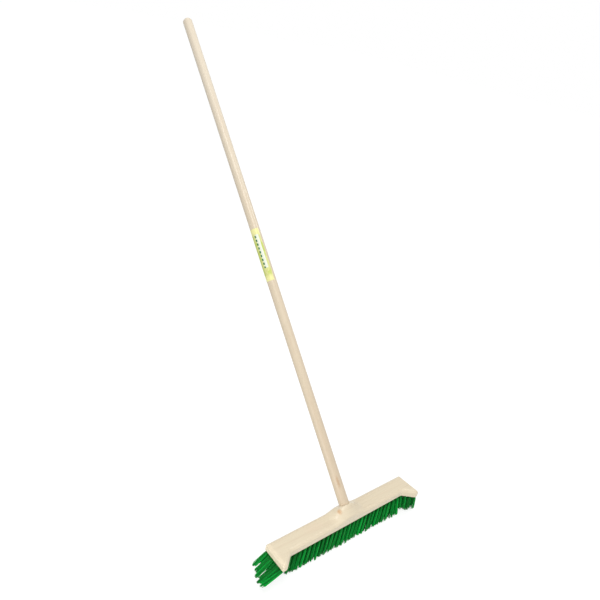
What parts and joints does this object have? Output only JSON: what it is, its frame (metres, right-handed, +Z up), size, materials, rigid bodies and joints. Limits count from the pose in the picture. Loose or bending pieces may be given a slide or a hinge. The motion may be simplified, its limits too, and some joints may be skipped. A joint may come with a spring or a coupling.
{
  "type": "push broom",
  "caption": "Wooden push broom: long round handle set aslant in a humped head with forward wings and green bristles fanned at the ends.",
  "frame": {"origin": "on the swept floor, under the middle of the head, straight below the point where the handle's axis enters the top of the block", "axes": "+X along the head, +Y to the back, the way the handle leans, +Z up"},
  "size_m": [0.5662, 1.1101, 1.1492],
  "materials": {
    "head_wood": "clear lacquer, satin",
    "handle_wood": "clear lacquer, satin",
    "label_film": "printed film sticker, plain",
    "bristle": "coloured polymer filament",
    "anchor_steel": "flat drawn wire"
  },
  "bodies": {
    "root": {"head_block": "head_wood", "handle": "handle_wood", "handle_label": "label_film", "tufts_back_row": "bristle", "tufts_second_row": "bristle", "tufts_third_row": "bristle", "tufts_front_row": "bristle", "tufts_left_inner_fan": "bristle", "tufts_left_middle_fan": "bristle", "tufts_left_outer_fan": "bristle", "tufts_left_wing": "bristle", "tufts_right_inner_fan": "bristle", "tufts_right_middle_fan": "bristle", "tufts_right_outer_fan": "bristle", "tufts_right_wing": "bristle", "anchors_back_row": "anchor_steel", "anchors_second_row": "anchor_steel", "anchors_third_row": "anchor_steel", "anchors_front_row": "anchor_steel", "anchors_left_inner_fan": "anchor_steel", "anchors_left_middle_fan": "anchor_steel", "anchors_left_outer_fan": "anchor_steel", "anchors_left_wing": "anchor_steel", "anchors_right_inner_fan": "anchor_steel", "anchors_right_middle_fan": "anchor_steel", "anchors_right_outer_fan": "anchor_steel", "anchors_right_wing": "anchor_steel"}
  },
  "joints": []
}
